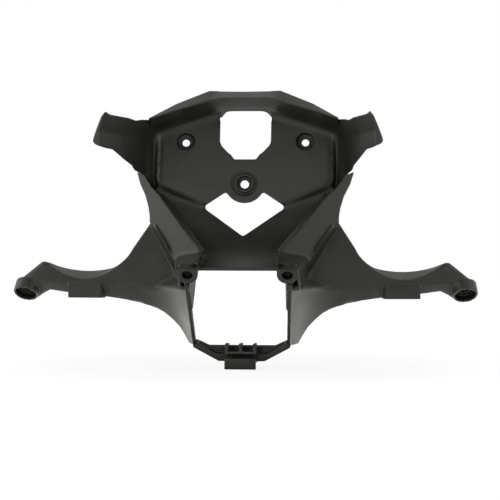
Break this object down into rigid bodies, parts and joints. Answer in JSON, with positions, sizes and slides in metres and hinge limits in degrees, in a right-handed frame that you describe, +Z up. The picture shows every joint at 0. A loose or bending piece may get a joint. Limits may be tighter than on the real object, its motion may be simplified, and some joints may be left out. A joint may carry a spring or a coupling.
{
  "type": "motorcycle fairing stay",
  "caption": "Moulded front fairing stay: tilted instrument panel with window, splayed ears and legs, open lower frame and side arms ending in cups.",
  "frame": {"origin": "middle screw hole of the instrument panel, on the panel's front face at its mid width", "axes": "+X to the right seen from the rider's side, +Y away from the rider, +Z up; the left half mirrors the right across the YZ plane"},
  "size_m": [0.4492, 0.1291, 0.2674],
  "materials": {
    "nylon": "satin moulded black, lightly grained"
  },
  "bodies": {
    "root": {"stay": "nylon"}
  },
  "joints": []
}
